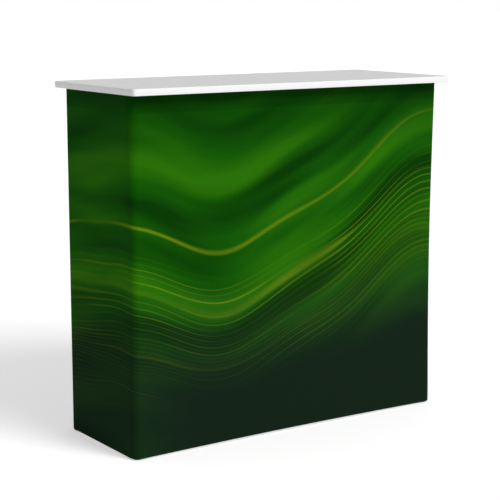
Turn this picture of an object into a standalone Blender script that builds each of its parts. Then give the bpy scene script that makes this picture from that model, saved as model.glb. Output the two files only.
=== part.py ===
"""Exhibition counter: a worktop on a plug-together tube frame with a stretched textile cover.

Metres, +Z up. The origin is on the floor under the middle of the worktop. The front faces -Y,
and the back, where the storage space is open, faces +Y.
"""

import math

import bmesh
import bpy
from mathutils import Matrix, Vector

# The whole counter
TOTAL_HEIGHT = 1.000
BODY_WIDTH = 1.050  # over the cover
BODY_DEPTH = 0.365  # over the cover
CLEARANCE = 0.0003  # between pieces that touch
CUT_OVERRUN = 0.002  # how far a cutter runs past the face it opens

# Worktop: a faced board with a glued edge band, and pegs in its underside
WORKTOP_THICKNESS = 0.018
WORKTOP_CORNER_RADIUS = 0.010
SIDE_OVERHANG = 0.012
FRONT_OVERHANG = 0.040
REAR_OVERHANG = 0.040
EDGE_BAND_THICKNESS = 0.002
EDGE_BAND_ROUNDING = 0.0008
PEG_RADIUS = 0.006
PEG_SEAT_DEPTH = 0.008  # glued length in the board
PEG_LENGTH_BELOW = 0.010
PEG_CHAMFER = 0.0015
PEG_END_GAP = 0.0015

# Cover: one sewn sheet round the left side, the front and the right side
COVER_THICKNESS = 0.0012
COVER_FRONT_RADIUS = 0.025
COVER_DRAW_IN = 0.0055  # how far tension pulls the front corners in at mid height
COVER_FLOOR_GAP = 0.004
COVER_HEM_RISE = 0.004  # of the lower hem, at the middle of the front
FRONT_SPARED_SHARE = 0.45  # of the draw-in, at the middle of the front panel
COVER_WRAP_END = math.radians(52)  # where the cover ends round a rear post, from straight inward

# Rails: rectangular tube, with the hook tape on the outer face
RAIL_HEIGHT = 0.025
RAIL_DEPTH = 0.015
RAIL_WALL = 0.0015
RAIL_EDGE_RADIUS = 0.002
TAPE_THICKNESS = 0.0015
TAPE_WIDTH = 0.020
TAPE_START = math.radians(58)  # of the tape round a rear post, from straight inward
TAPE_END = math.radians(172)

# Posts: round tube in two lengths, with an inner sleeve at the seam
POST_RADIUS = 0.0125
POST_WALL = 0.0015
POST_SEAM_SHARE = 0.5  # of the post's length, up to the seam
JOINER_WALL = 0.002
JOINER_LENGTH = 0.120

# Spring catch: a button through the upper post's wall, on a bent leaf spring
BUTTON_RADIUS = 0.0035
BUTTON_PROUD = 0.0025
BUTTON_DOME = 0.0012
BUTTON_FLANGE_RADIUS = 0.0045
BUTTON_FLANGE_THICKNESS = 0.0012
CATCH_ABOVE_SEAM = 0.030
SPRING_THICKNESS = 0.0008
SPRING_WIDTH = 0.006
SPRING_LENGTH = 0.022
SPRING_BEND_RADIUS = 0.0022

# Corner connectors: a moulded block with two rail spigots and a post spigot
CONNECTOR_SIZE = 0.046
CONNECTOR_ROUNDING = 0.0012
REAR_BACK_TURN = math.radians(45)  # how far the rear block's round back runs past straight back
SPIGOT_LENGTH = 0.040
POST_SPIGOT_LENGTH = 0.045
SPIGOT_WALL = 0.0025
SPIGOT_LEAD_IN = 0.0015

# Levelling feet
FOOT_HEIGHT = 0.012  # floor to the underside of the bottom connectors
PAD_RADIUS = 0.013
PAD_THICKNESS = 0.007
PAD_CHAMFER = 0.0015
NUT_RADIUS = 0.0065
STUD_RADIUS = 0.004
STUD_LENGTH = 0.020

# Shelf and its brackets
SHELF_HEIGHT = 0.600  # floor to the shelf's underside
SHELF_THICKNESS = 0.012
SHELF_CORNER_RADIUS = 0.006
SHELF_ROUNDING = 0.001
SHELF_FRONT_GAP = 0.008  # to the cover
SHELF_REAR_INSET = 0.004  # from the back of the body
SHELF_END_GAP = 0.003  # to the front posts
LEDGE_LENGTH = 0.038
LEDGE_WIDTH = 0.020
LEDGE_THICKNESS = 0.004
SADDLE_HEIGHT = 0.032
SADDLE_DEPTH = 0.006
WEB_THICKNESS = 0.005

# Facets
CORNER_STEPS = 6
WRAP_STEPS = 8
TUBE_SEGMENTS = 24
SMALL_SEGMENTS = 16
FRONT_PANEL_STEPS = 8
SIDE_PANEL_STEPS = 3
COVER_ROWS = 10
MERGE_DISTANCE = 0.00001

# Places that follow from the sizes above
worktop_underside = TOTAL_HEIGHT - WORKTOP_THICKNESS
frame_top = worktop_underside - CLEARANCE
half_width = BODY_WIDTH / 2
half_depth = BODY_DEPTH / 2
frame_inset = COVER_THICKNESS + CLEARANCE  # outer face of the cover to the connectors' faces
frame_x = half_width - frame_inset
frame_y = half_depth - frame_inset
rail_face_inset = TAPE_THICKNESS + CLEARANCE  # connector's face to the rail's outer face

front_block_radius = COVER_FRONT_RADIUS - frame_inset
rear_block_radius = POST_RADIUS + CLEARANCE + TAPE_THICKNESS
cover_rear_radius = rear_block_radius + frame_inset

# A front post stands where the drawn-in cover just clears it, at the corner and on the flats.
room_at_corner = front_block_radius - COVER_DRAW_IN - POST_RADIUS
front_post_inset = max(
    front_block_radius - room_at_corner / math.sqrt(2),
    COVER_DRAW_IN + POST_RADIUS + CLEARANCE,
)
rear_post_inset = rear_block_radius
rear_rail_face_inset = rear_block_radius * (1 - math.cos(REAR_BACK_TURN))

# x side, y side: -1 left or front, +1 right or rear
CORNERS = {
    "front_left": (-1, -1),
    "front_right": (1, -1),
    "rear_left": (-1, 1),
    "rear_right": (1, 1),
}


def post_axis(corner):
    """Plan position of a corner's post."""
    x_side, y_side = CORNERS[corner]
    inset = front_post_inset if y_side < 0 else rear_post_inset
    return Vector((x_side * (frame_x - inset), y_side * (frame_y - inset), 0))


def clear_scene():
    for thing in list(bpy.data.objects):
        bpy.data.objects.remove(thing, do_unlink=True)


def new_collection(name):
    collection = bpy.data.collections.new(name)
    bpy.context.scene.collection.children.link(collection)
    return collection


def new_material(name, colour, roughness, metallic=0.0):
    material = bpy.data.materials.new(name)
    material.use_nodes = True
    shader = material.node_tree.nodes["Principled BSDF"]
    shader.inputs["Base Color"].default_value = (*colour, 1.0)
    shader.inputs["Roughness"].default_value = roughness
    shader.inputs["Metallic"].default_value = metallic
    material.diffuse_color = (*colour, 1.0)
    return material


def new_part(name, mesh, material, parent, location=(0, 0, 0), rotation=None):
    """A visible piece of the counter, which is one node."""
    thing = bpy.data.objects.new(name, mesh)
    parts.objects.link(thing)
    mesh.materials.clear()
    mesh.materials.append(material)
    thing.parent = parent
    thing.location = location
    if rotation:
        thing.rotation_euler = rotation.to_euler()
    return thing


def new_tool(name, mesh, parent, location=(0, 0, 0), rotation=None):
    """A guide that is joined to a piece or cut from it, and is no piece itself."""
    thing = bpy.data.objects.new(name, mesh)
    tools.objects.link(thing)
    thing.hide_render = True
    thing.display_type = "WIRE"
    thing.parent = parent
    thing.location = location
    if rotation:
        thing.rotation_euler = rotation.to_euler()
    return thing


def combine(part, tool, operation):
    modifier = part.modifiers.new(tool.name, "BOOLEAN")
    modifier.operation = operation
    modifier.object = tool


def axes(x_axis, y_axis, z_axis):
    """Rotation that turns a piece's own axes to the given world directions."""
    return Matrix((x_axis, y_axis, z_axis)).transposed()


def mesh_from(bm, name):
    mesh = bpy.data.meshes.new(name)
    bm.to_mesh(mesh)
    bm.free()
    return mesh


def box_mesh(name, size, rounding=0.0):
    """Box centred on its origin, with plain or chamfered edges."""
    bm = bmesh.new()
    bmesh.ops.create_cube(bm, size=1)
    bmesh.ops.scale(bm, vec=size, verts=bm.verts)
    if rounding:
        bmesh.ops.bevel(
            bm,
            geom=bm.edges[:],
            offset=rounding,
            segments=1,
            profile=0.5,
            affect="EDGES",
            material=-1,
        )
    return mesh_from(bm, name)


def rod_mesh(name, radius, bottom, top, segments=TUBE_SEGMENTS):
    """Solid cylinder on the Z axis."""
    bm = bmesh.new()
    bmesh.ops.create_cone(
        bm,
        cap_ends=True,
        segments=segments,
        radius1=radius,
        radius2=radius,
        depth=top - bottom,
    )
    bmesh.ops.translate(bm, vec=(0, 0, (bottom + top) / 2), verts=bm.verts)
    return mesh_from(bm, name)


def flat_mesh(name, outlines, thickness):
    """Flat piece centred on the XY plane, with the given outline and holes."""
    curve = bpy.data.curves.new(name, "CURVE")
    curve.dimensions = "2D"
    curve.fill_mode = "BOTH"
    curve.extrude = thickness / 2
    for outline in outlines:
        spline = curve.splines.new("POLY")
        spline.points.add(len(outline) - 1)
        for point, place in zip(spline.points, outline):
            point.co = (*place, 0, 1)
        spline.use_cyclic_u = True
    guide = bpy.data.objects.new(name, curve)
    bpy.context.scene.collection.objects.link(guide)
    view = bpy.context.evaluated_depsgraph_get()
    mesh = bpy.data.meshes.new_from_object(guide.evaluated_get(view))
    bpy.data.objects.remove(guide, do_unlink=True)
    bm = bmesh.new()
    bm.from_mesh(mesh)
    bmesh.ops.remove_doubles(bm, verts=bm.verts, dist=MERGE_DISTANCE)
    bmesh.ops.recalc_face_normals(bm, faces=bm.faces)
    bm.to_mesh(mesh)
    bm.free()
    return mesh


def profile_mesh(name, points, closed):
    """Profile at +X for a Screw modifier, from the top down its outer side."""
    bm = bmesh.new()
    corners = [bm.verts.new((radius, 0, height)) for radius, height in points]
    for first, second in zip(corners, corners[1:]):
        bm.edges.new((first, second))
    if closed:
        bm.edges.new((corners[-1], corners[0]))
    return mesh_from(bm, name)


def spin(thing, segments=TUBE_SEGMENTS):
    modifier = thing.modifiers.new("turned", "SCREW")
    modifier.steps = segments
    modifier.render_steps = segments
    modifier.use_merge_vertices = True
    modifier.merge_threshold = MERGE_DISTANCE
    modifier.use_smooth_shade = False
    return thing


def soften(thing, width, segments=1):
    modifier = thing.modifiers.new("rounded edges", "BEVEL")
    modifier.width = width
    modifier.segments = segments
    modifier.limit_method = "ANGLE"
    modifier.angle_limit = math.radians(40)


def arc(centre, radius, start, end, steps):
    angles = [start + (end - start) * step / steps for step in range(steps + 1)]
    return [
        (centre[0] + radius * math.cos(angle), centre[1] + radius * math.sin(angle))
        for angle in angles
    ]


def rounded_rectangle(width, depth, radius, steps):
    outline = []
    for turn, (x_side, y_side) in enumerate(((1, 1), (-1, 1), (-1, -1), (1, -1))):
        centre = (x_side * (width / 2 - radius), y_side * (depth / 2 - radius))
        start = turn * math.pi / 2
        outline += arc(centre, radius, start, start + math.pi / 2, steps)
    return outline


def rectangle(width, depth):
    x, y = width / 2, depth / 2
    return [(x, y), (-x, y), (-x, -y), (x, -y)]


def tube_profile(outer, inner, bottom, top):
    return [(outer, top), (outer, bottom), (inner, bottom), (inner, top)]


# Worktop


def make_worktop(root):
    """The panel, its edge band and the pegs lift off together."""
    width = BODY_WIDTH + 2 * SIDE_OVERHANG
    depth = BODY_DEPTH + FRONT_OVERHANG + REAR_OVERHANG
    worktop_y = (REAR_OVERHANG - FRONT_OVERHANG) / 2
    worktop = bpy.data.objects.new("worktop", None)
    parts.objects.link(worktop)
    worktop.parent = root
    worktop.location = (0, worktop_y, worktop_underside)
    middle = (0, 0, WORKTOP_THICKNESS / 2)

    board_inset = EDGE_BAND_THICKNESS + CLEARANCE
    board = flat_mesh(
        "worktop_panel",
        [
            rounded_rectangle(
                width - 2 * board_inset,
                depth - 2 * board_inset,
                WORKTOP_CORNER_RADIUS - board_inset,
                CORNER_STEPS,
            )
        ],
        WORKTOP_THICKNESS,
    )
    panel = new_part("worktop_panel", board, laminate, worktop, middle)

    band = flat_mesh(
        "worktop_edge_band",
        [
            rounded_rectangle(width, depth, WORKTOP_CORNER_RADIUS, CORNER_STEPS),
            rounded_rectangle(
                width - 2 * EDGE_BAND_THICKNESS,
                depth - 2 * EDGE_BAND_THICKNESS,
                WORKTOP_CORNER_RADIUS - EDGE_BAND_THICKNESS,
                CORNER_STEPS,
            ),
        ],
        WORKTOP_THICKNESS,
    )
    soften(
        new_part("worktop_edge_band", band, edging, worktop, middle), EDGE_BAND_ROUNDING
    )

    peg_profile = [
        (0, PEG_SEAT_DEPTH),
        (PEG_RADIUS, PEG_SEAT_DEPTH),
        (PEG_RADIUS, PEG_CHAMFER - PEG_LENGTH_BELOW),
        (PEG_RADIUS - PEG_CHAMFER, -PEG_LENGTH_BELOW),
        (0, -PEG_LENGTH_BELOW),
    ]
    seat = rod_mesh(
        "peg_seat",
        PEG_RADIUS + CLEARANCE,
        -CUT_OVERRUN,
        PEG_SEAT_DEPTH + CLEARANCE,
        SMALL_SEGMENTS,
    )
    for corner in CORNERS:
        place = post_axis(corner) - Vector((0, worktop_y, 0))
        mesh = profile_mesh("locating_peg", peg_profile, closed=False)
        peg = new_part("locating_peg_" + corner, mesh, black_nylon, worktop, place)
        spin(peg, SMALL_SEGMENTS)
        combine(
            panel, new_tool("peg_seat_" + corner, seat, worktop, place), "DIFFERENCE"
        )


# Corner connectors


def block_outline(corner):
    """Plan of a connector's block, from the post's axis. Its outer corner is rounded for the cover."""
    x_side, y_side = CORNERS[corner]
    rear = y_side > 0
    radius = rear_block_radius if rear else front_block_radius
    back_turn = REAR_BACK_TURN if rear else 0.0
    steps = WRAP_STEPS if rear else CORNER_STEPS
    inset = rear_post_inset if rear else front_post_inset
    end = 1.5 * math.pi + back_turn
    outline = arc((radius, radius), radius, math.pi, end, steps)
    outline += [
        (CONNECTOR_SIZE, outline[-1][1]),
        (CONNECTOR_SIZE, CONNECTOR_SIZE),
        (0, CONNECTOR_SIZE),
    ]
    return [(x_side * (inset - u), y_side * (inset - v)) for u, v in outline]


def make_rail_spigot(connector, corner, along_x, height, root):
    """A hollow rectangular spigot that plugs into the end of a rail."""
    x_side, y_side = CORNERS[corner]
    width = RAIL_DEPTH - 2 * (RAIL_WALL + CLEARANCE)
    tall = RAIL_HEIGHT - 2 * (RAIL_WALL + CLEARANCE)
    root_depth = SPIGOT_WALL  # how far the spigot reaches into the block
    length = SPIGOT_LENGTH + root_depth
    out = CONNECTOR_SIZE - root_depth + length / 2
    if along_x and y_side > 0:
        across = rear_rail_face_inset + RAIL_DEPTH / 2
    else:
        across = rail_face_inset + RAIL_DEPTH / 2
    u, v = (out, across) if along_x else (across, out)
    place = Vector((x_side * (frame_x - u), y_side * (frame_y - v), height))
    size = (length, width, tall) if along_x else (width, length, tall)
    hollow = Vector(
        (
            length if along_x else width - 2 * SPIGOT_WALL,
            width - 2 * SPIGOT_WALL if along_x else length,
            tall - 2 * SPIGOT_WALL,
        )
    )
    inward = (
        Vector((-x_side, 0, 0)) if along_x else Vector((0, -y_side, 0))
    ) * SPIGOT_WALL
    name = connector.name + ("_x" if along_x else "_y")
    spigot = new_tool(
        name + "_spigot", box_mesh("spigot", size, SPIGOT_LEAD_IN / 2), root, place
    )
    combine(connector, spigot, "UNION")
    pocket = new_tool(name + "_pocket", box_mesh("pocket", hollow), root, place + inward)
    combine(connector, pocket, "DIFFERENCE")


def make_connector(level, corner, root):
    """Moulded corner. Its block is as tall as the rails, and its round spigot enters the post."""
    top = level == "top"
    low = frame_top - RAIL_HEIGHT if top else FOOT_HEIGHT
    high = low + RAIL_HEIGHT
    middle = (low + high) / 2
    post_side = -1 if top else 1
    place = post_axis(corner)
    name = level + "_connector_" + corner

    block = flat_mesh(name, [block_outline(corner)], RAIL_HEIGHT)
    connector = new_part(
        name, block, black_nylon, root, place + Vector((0, 0, middle))
    )
    soften(connector, CONNECTOR_ROUNDING)

    radius = POST_RADIUS - POST_WALL - CLEARANCE
    start = post_side * (RAIL_HEIGHT / 2 - SPIGOT_WALL)
    end = post_side * (RAIL_HEIGHT / 2 + POST_SPIGOT_LENGTH)
    lead_in = end - post_side * SPIGOT_LEAD_IN
    rings = [
        (radius, start),
        (radius, lead_in),
        (radius - SPIGOT_LEAD_IN, end),
        (radius - SPIGOT_WALL, end),
        (radius - SPIGOT_WALL, start),
    ]
    profile = rings if top else reversed(rings)
    spigot_mesh = profile_mesh(name + "_post_spigot", profile, closed=True)
    spigot_place = place + Vector((0, 0, middle))
    spigot = spin(new_tool(name + "_post_spigot", spigot_mesh, root, spigot_place))
    combine(connector, spigot, "UNION")

    make_rail_spigot(connector, corner, True, middle, root)
    make_rail_spigot(connector, corner, False, middle, root)

    if top:
        bore = rod_mesh(
            name + "_bore",
            PEG_RADIUS + CLEARANCE,
            RAIL_HEIGHT / 2 - PEG_LENGTH_BELOW - PEG_END_GAP,
            RAIL_HEIGHT / 2 + CUT_OVERRUN,
            SMALL_SEGMENTS,
        )
    else:
        bore = rod_mesh(
            name + "_bore",
            STUD_RADIUS + CLEARANCE,
            -RAIL_HEIGHT / 2 - CUT_OVERRUN,
            RAIL_HEIGHT / 2 + CUT_OVERRUN,
            SMALL_SEGMENTS,
        )
    combine(connector, new_tool(name + "_bore", bore, root, spigot_place), "DIFFERENCE")


# Rails and hook tapes


def rail_mesh(name, length):
    return flat_mesh(
        name,
        [
            rounded_rectangle(RAIL_DEPTH, RAIL_HEIGHT, RAIL_EDGE_RADIUS, 2),
            rectangle(RAIL_DEPTH - 2 * RAIL_WALL, RAIL_HEIGHT - 2 * RAIL_WALL),
        ],
        length,
    )


def make_rails(level, root):
    """Four rails between the connectors of one level, and the tapes on three of them."""
    low = frame_top - RAIL_HEIGHT if level == "top" else FOOT_HEIGHT
    height = low + RAIL_HEIGHT / 2
    end_inset = CONNECTOR_SIZE + CLEARANCE
    long_way = 2 * (frame_x - end_inset)
    short_way = 2 * (frame_y - end_inset)
    along_x = axes((0, 1, 0), (0, 0, 1), (1, 0, 0))
    along_y = axes((-1, 0, 0), (0, 0, 1), (0, 1, 0))
    tape_offset = rail_face_inset - TAPE_THICKNESS / 2 - CLEARANCE

    for side, y_side, face in (
        ("front", -1, rail_face_inset),
        ("rear", 1, rear_rail_face_inset),
    ):
        name = level + "_rail_" + side
        y = y_side * (frame_y - face - RAIL_DEPTH / 2)
        new_part(
            name, rail_mesh(name, long_way), aluminium, root, (0, y, height), along_x
        )
    for side, x_side in (("left", -1), ("right", 1)):
        name = level + "_rail_" + side
        x = x_side * (frame_x - rail_face_inset - RAIL_DEPTH / 2)
        new_part(
            name, rail_mesh(name, short_way), aluminium, root, (x, 0, height), along_y
        )
        tape = box_mesh("hook_tape", (TAPE_THICKNESS, short_way, TAPE_WIDTH))
        x = x_side * (frame_x - tape_offset)
        new_part(
            "hook_tape_" + level + "_" + side, tape, tape_black, root, (x, 0, height)
        )
    tape = box_mesh("hook_tape", (long_way, TAPE_THICKNESS, TAPE_WIDTH))
    y = -(frame_y - tape_offset)
    new_part("hook_tape_" + level + "_front", tape, tape_black, root, (0, y, height))


# Posts, joiners and catches


def make_post(corner, root):
    """Two tubes on an inner sleeve, with the hole that the catch's button comes through."""
    y_side = CORNERS[corner][1]
    place = post_axis(corner)
    low = FOOT_HEIGHT + RAIL_HEIGHT + CLEARANCE
    high = frame_top - RAIL_HEIGHT - CLEARANCE
    seam = low + (high - low) * POST_SEAM_SHARE
    inner = POST_RADIUS - POST_WALL
    sleeve = inner - CLEARANCE
    catch_height = seam + CATCH_ABOVE_SEAM

    lower = profile_mesh(
        "post_lower", tube_profile(POST_RADIUS, inner, low, seam), closed=True
    )
    spin(new_part("post_lower_" + corner, lower, aluminium, root, place))
    upper = profile_mesh(
        "post_upper", tube_profile(POST_RADIUS, inner, seam + CLEARANCE, high), closed=True
    )
    upper_post = spin(new_part("post_upper_" + corner, upper, aluminium, root, place))
    sleeve_profile = tube_profile(
        sleeve,
        sleeve - JOINER_WALL,
        seam - JOINER_LENGTH / 2,
        seam + JOINER_LENGTH / 2,
    )
    joiner_mesh = profile_mesh("post_joiner", sleeve_profile, closed=True)
    joiner = spin(new_part("post_joiner_" + corner, joiner_mesh, aluminium, root, place))

    outward = axes((0, 0, 1), (-y_side, 0, 0), (0, -y_side, 0))
    hole = rod_mesh(
        "catch_hole",
        BUTTON_RADIUS + CLEARANCE,
        0,
        POST_RADIUS + CUT_OVERRUN,
        SMALL_SEGMENTS,
    )
    catch_place = place + Vector((0, 0, catch_height))
    cutter = new_tool("catch_hole_" + corner, hole, root, catch_place, outward)
    combine(upper_post, cutter, "DIFFERENCE")
    combine(joiner, cutter, "DIFFERENCE")
    make_catch(corner, sleeve - JOINER_WALL, root, catch_place, outward)


def make_catch(corner, bore, root, place, outward):
    """Button, flange and bent leaf spring. Its own +Z is the way the button points."""
    press = BUTTON_PROUD + POST_WALL + CLEARANCE
    flange_face = math.sqrt(bore**2 - BUTTON_FLANGE_RADIUS**2) - CLEARANCE
    flange_back = flange_face - BUTTON_FLANGE_THICKNESS
    tip = POST_RADIUS + BUTTON_PROUD
    button = profile_mesh(
        "post_catch",
        [
            (0, tip),
            (BUTTON_RADIUS - BUTTON_DOME, tip),
            (BUTTON_RADIUS, tip - BUTTON_DOME),
            (BUTTON_RADIUS, flange_face),
            (BUTTON_FLANGE_RADIUS, flange_face),
            (BUTTON_FLANGE_RADIUS, flange_back),
            (0, flange_back),
        ],
        closed=False,
    )
    catch = new_part(
        "post_catch_" + corner, button, spring_steel, root, place, outward
    )
    spin(catch, SMALL_SEGMENTS)

    # The spring's free arm leans back as far as leaves room for the button's travel.
    reach = math.sqrt(bore**2 - (SPRING_WIDTH / 2) ** 2)
    rest = reach - press - CLEARANCE - SPRING_THICKNESS
    bend_centre = (-SPRING_LENGTH, flange_back - SPRING_BEND_RADIUS)
    path = [(BUTTON_RADIUS, flange_back)]
    path += arc(
        bend_centre, SPRING_BEND_RADIUS, math.pi / 2, 1.5 * math.pi, CORNER_STEPS
    )
    path += [(BUTTON_RADIUS, -rest)]
    bm = bmesh.new()
    side = [bm.verts.new((along, -SPRING_WIDTH / 2, out)) for along, out in path]
    edges = [bm.edges.new(pair) for pair in zip(side, side[1:])]
    swept = bmesh.ops.extrude_edge_only(bm, edges=edges)["geom"]
    far_side = [item for item in swept if isinstance(item, bmesh.types.BMVert)]
    bmesh.ops.translate(bm, vec=(0, SPRING_WIDTH, 0), verts=far_side)
    leaf = new_tool(
        "catch_spring_" + corner, mesh_from(bm, "catch_spring"), root, place, outward
    )
    strip = leaf.modifiers.new("sheet", "SOLIDIFY")
    strip.thickness = SPRING_THICKNESS
    strip.offset = 0
    strip.use_even_offset = True
    combine(catch, leaf, "UNION")


def make_post_tape(corner, root):
    """Curved hook tape stuck round the outside of a rear post."""
    x_side = CORNERS[corner][0]
    low = FOOT_HEIGHT + RAIL_HEIGHT + 2 * CLEARANCE
    high = frame_top - RAIL_HEIGHT - 2 * CLEARANCE
    inner = POST_RADIUS + CLEARANCE
    outline = arc((0, 0), inner + TAPE_THICKNESS, TAPE_START, TAPE_END, WRAP_STEPS)
    outline += arc((0, 0), inner, TAPE_END, TAPE_START, WRAP_STEPS)
    outline = [(-x_side * x, y) for x, y in outline]
    side = corner.split("_")[1]
    name = "hook_tape_post_" + side
    place = post_axis(corner) + Vector((0, 0, (low + high) / 2))
    new_part(name, flat_mesh(name, [outline], high - low), tape_black, root, place)


# Levelling feet


def make_foot(corner, root):
    """Pad, nut and threaded stud in one, which screws up into the bottom connector."""
    nut_top = FOOT_HEIGHT - CLEARANCE
    stud_top = nut_top + STUD_LENGTH
    profile = [
        (0, stud_top),
        (STUD_RADIUS, stud_top),
        (STUD_RADIUS, nut_top),
        (NUT_RADIUS, nut_top),
        (NUT_RADIUS, PAD_THICKNESS),
        (PAD_RADIUS - PAD_CHAMFER, PAD_THICKNESS),
        (PAD_RADIUS, PAD_THICKNESS - PAD_CHAMFER),
        (PAD_RADIUS, 0),
        (0, 0),
    ]
    mesh = profile_mesh("levelling_foot", profile, closed=False)
    foot = new_part(
        "levelling_foot_" + corner, mesh, foot_rubber, root, post_axis(corner)
    )
    spin(foot, SMALL_SEGMENTS)


# Shelf and brackets


def make_shelf(root):
    half_length = abs(post_axis("front_left").x) - POST_RADIUS - SHELF_END_GAP
    front = -(half_depth - COVER_THICKNESS - SHELF_FRONT_GAP)
    rear = half_depth - SHELF_REAR_INSET
    board = flat_mesh(
        "shelf_panel",
        [
            rounded_rectangle(
                2 * half_length, rear - front, SHELF_CORNER_RADIUS, CORNER_STEPS
            )
        ],
        SHELF_THICKNESS,
    )
    place = (0, (front + rear) / 2, SHELF_HEIGHT + SHELF_THICKNESS / 2)
    soften(new_part("shelf_panel", board, laminate, root, place), SHELF_ROUNDING)


def make_bracket(corner, root):
    """Saddle against the post, a ledge under the shelf and a web between them."""
    x_side = CORNERS[corner][0]
    top = SHELF_HEIGHT - CLEARANCE
    place = post_axis(corner) + Vector((0, 0, top))
    saddle_start = math.sqrt(POST_RADIUS**2 - (LEDGE_WIDTH / 2) ** 2)
    saddle_end = POST_RADIUS + SADDLE_DEPTH
    ledge_end = POST_RADIUS + LEDGE_LENGTH
    name = "shelf_bracket_" + corner

    def slab(start, end, low, width):
        """A slab that runs inward from the post's axis, as a mesh and its place."""
        mesh = box_mesh(name, (end - start, width, -low))
        return mesh, place + Vector((-x_side * (start + end) / 2, 0, low / 2))

    saddle, saddle_place = slab(saddle_start, saddle_end, -SADDLE_HEIGHT, LEDGE_WIDTH)
    bracket = new_part(name, saddle, black_nylon, root, saddle_place)
    ledge, ledge_place = slab(saddle_start, ledge_end, -LEDGE_THICKNESS, LEDGE_WIDTH)
    combine(bracket, new_tool(name + "_ledge", ledge, root, ledge_place), "UNION")

    web_outline = [
        (POST_RADIUS, -LEDGE_THICKNESS / 2),
        (ledge_end - LEDGE_THICKNESS, -LEDGE_THICKNESS / 2),
        (ledge_end - LEDGE_THICKNESS, -LEDGE_THICKNESS),
        (saddle_end, LEDGE_THICKNESS - SADDLE_HEIGHT),
        (POST_RADIUS, LEDGE_THICKNESS - SADDLE_HEIGHT),
    ]
    web = flat_mesh(name + "_web", [web_outline], WEB_THICKNESS)
    inward = axes((-x_side, 0, 0), (0, 0, 1), (0, x_side, 0))
    combine(bracket, new_tool(name + "_web", web, root, place, inward), "UNION")

    post = rod_mesh(
        name + "_post", POST_RADIUS + CLEARANCE, -SADDLE_HEIGHT - CUT_OVERRUN, CUT_OVERRUN
    )
    combine(bracket, new_tool(name + "_post", post, root, place), "DIFFERENCE")


# Cover


def cover_path():
    """Plan of the cover's outer face, from the left rear post round the front to the right one.

    Each point has its place, the outward direction, its share of the draw-in and its share of
    the hem's rise.
    """
    front_x = half_width - COVER_FRONT_RADIUS
    front_y = COVER_FRONT_RADIUS - half_depth
    rear_x = half_width - cover_rear_radius
    rear_y = half_depth - cover_rear_radius
    path = []

    def turn(centre, radius, start, end, steps, draw_share):
        for place in arc((0, 0), 1, start, end, steps):
            outward = Vector(place)
            path.append((Vector(centre) + radius * outward, outward, draw_share, 0.0))

    def run(start, end, outward, steps, draw_shares, rise_share):
        """Points between the ends of a straight panel."""
        for step in range(1, steps):
            t = step / steps
            place = Vector(start).lerp(Vector(end), t)
            rise = rise_share * math.sin(math.pi * t)
            path.append((place, Vector(outward), draw_shares(t), rise))

    def front_shares(t):
        return 1 - FRONT_SPARED_SHARE * math.sin(math.pi * t)

    quarter = math.pi / 2
    wrap_end = math.pi - COVER_WRAP_END
    turn((-rear_x, rear_y), cover_rear_radius, COVER_WRAP_END, math.pi, WRAP_STEPS, 0)
    run(
        (-half_width, rear_y), (-half_width, front_y), (-1, 0), SIDE_PANEL_STEPS,
        lambda t: t, 0,
    )
    turn(
        (-front_x, front_y), COVER_FRONT_RADIUS, 2 * quarter, 3 * quarter, CORNER_STEPS, 1
    )
    run(
        (-front_x, -half_depth), (front_x, -half_depth), (0, -1), FRONT_PANEL_STEPS,
        front_shares, 1,
    )
    turn(
        (front_x, front_y), COVER_FRONT_RADIUS, 3 * quarter, 4 * quarter, CORNER_STEPS, 1
    )
    run(
        (half_width, front_y), (half_width, rear_y), (1, 0), SIDE_PANEL_STEPS,
        lambda t: 1 - t, 0,
    )
    turn((rear_x, rear_y), cover_rear_radius, 0, wrap_end, WRAP_STEPS, 0)
    return path


def make_cover(root):
    """One sheet, held straight at the rails and drawn in between them."""
    path = cover_path()
    held_low = FOOT_HEIGHT + RAIL_HEIGHT
    held_high = frame_top - RAIL_HEIGHT
    rows = [COVER_FLOOR_GAP]
    for row in range(COVER_ROWS + 1):
        rows.append(held_low + (held_high - held_low) * row / COVER_ROWS)
    rows.append(frame_top)

    columns = len(path) - 1
    levels = len(rows) - 1
    bm = bmesh.new()
    bmesh.ops.create_grid(bm, x_segments=columns, y_segments=levels, size=0.5)
    for vertex in bm.verts:
        column = round((vertex.co.x + 0.5) * columns)
        row = round((vertex.co.y + 0.5) * levels)
        place, outward, draw_share, rise_share = path[column]
        height = rows[row]
        t = min(max((height - held_low) / (held_high - held_low), 0), 1)
        draw = COVER_DRAW_IN * draw_share * math.sin(math.pi * t)
        if row == 0:
            height += COVER_HEM_RISE * rise_share
        vertex.co = (*(place - draw * outward), height)
    cover = new_part(
        "textile_cover", mesh_from(bm, "textile_cover"), print_cloth, root
    )
    sheet = cover.modifiers.new("cloth", "SOLIDIFY")
    sheet.thickness = COVER_THICKNESS
    sheet.offset = -1
    sheet.use_even_offset = True


clear_scene()
parts = new_collection("exhibition_counter")
tools = new_collection("tools")
laminate = new_material("white melamine face", (0.62, 0.62, 0.62), 0.45)
edging = new_material("white edging plastic", (0.80, 0.80, 0.79), 0.40)
print_cloth = new_material("printed polyester cloth", (0.035, 0.150, 0.020), 0.85)
aluminium = new_material("anodised aluminium", (0.72, 0.72, 0.73), 0.35, 1.0)
black_nylon = new_material("black nylon", (0.020, 0.020, 0.022), 0.50)
spring_steel = new_material("spring steel", (0.55, 0.55, 0.56), 0.30, 1.0)
foot_rubber = new_material("black rubber", (0.015, 0.015, 0.015), 0.80)
tape_black = new_material("hook tape", (0.025, 0.025, 0.027), 0.90)

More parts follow.
